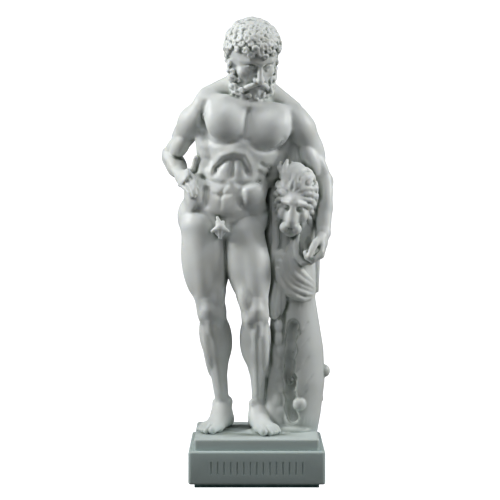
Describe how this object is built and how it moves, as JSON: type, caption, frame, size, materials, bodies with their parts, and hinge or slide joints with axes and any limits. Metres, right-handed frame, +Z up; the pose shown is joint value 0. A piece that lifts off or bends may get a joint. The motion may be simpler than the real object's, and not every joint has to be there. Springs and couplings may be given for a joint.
{
  "type": "hercules statue",
  "caption": "Standing bearded hero leaning on a club hung with a lion skin, cast in one piece with a stepped rectangular base, on a felt pad.",
  "frame": {"origin": "centre of the underside of the felt pad", "axes": "+Z up, the figure faces -Y, +X to the viewer's right from the front"},
  "size_m": [0.0932, 0.066, 0.2448],
  "materials": {
    "marble_resin": "white cast resin with stone powder, soft sheen",
    "grey_green_felt": "thin felt"
  },
  "bodies": {
    "root": {"statue": "marble_resin", "felt_pad": "grey_green_felt"}
  },
  "joints": []
}
